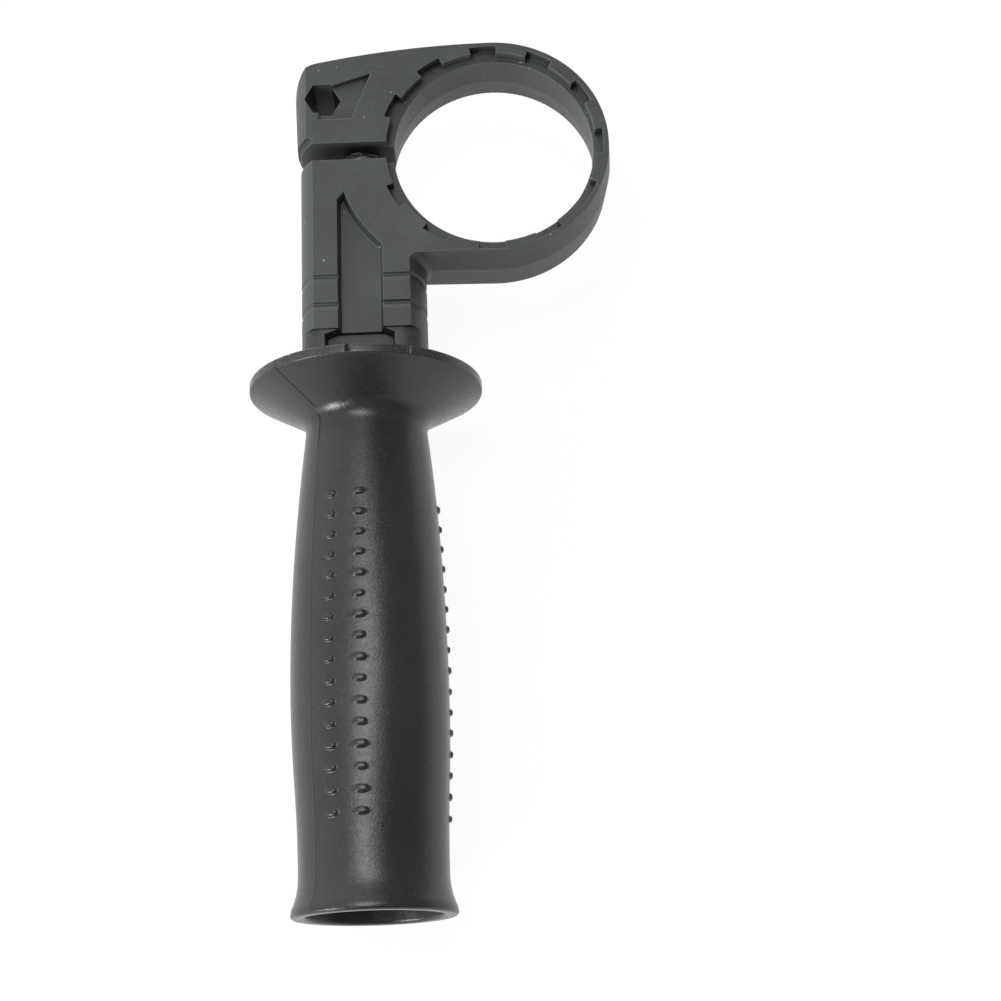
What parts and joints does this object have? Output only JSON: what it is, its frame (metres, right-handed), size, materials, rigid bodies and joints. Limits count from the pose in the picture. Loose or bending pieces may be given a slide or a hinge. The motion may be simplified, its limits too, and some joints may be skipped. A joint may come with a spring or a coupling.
{
  "type": "power tool side handle",
  "caption": "Side handle for a hand-held power tool: a hollow screw-down grip with a hand guard flange below a split collar clamp with a depth rod socket.",
  "frame": {"origin": "centre of the collar bore, midway between the collar's faces", "axes": "+Z along the collar bore toward the castellated face, +Y along the handle from the grip to the ear, +X away from the grip's axis"},
  "size_m": [0.0798, 0.1897, 0.0496],
  "materials": {
    "clamp_plastic": "matte moulded",
    "grip_plastic": "semi-gloss moulded",
    "bolt_steel": "zinc plated",
    "nut_steel": "zinc plated"
  },
  "bodies": {
    "clamp": {"clamp_band": "clamp_plastic"},
    "bolt": {"clamp_bolt": "bolt_steel"},
    "grip": {"grip": "grip_plastic", "grip_nut": "nut_steel"}
  },
  "joints": [
    {"name": "grip_turn", "type": "hinge", "parent": "clamp", "child": "grip", "pos_m": [-0.0293, -0.05169, 0], "axis": [0, -1, 0], "range_deg": [0, 720]},
    {"name": "bolt_travel", "type": "slide", "parent": "clamp", "child": "bolt", "axis": [0, 1, 0], "range_m": [0, 0.0025]}
  ],
  "couplings": [
    {"joint": "bolt_travel", "follows": "grip_turn", "m_per_rad": 0.00019894}
  ]
}
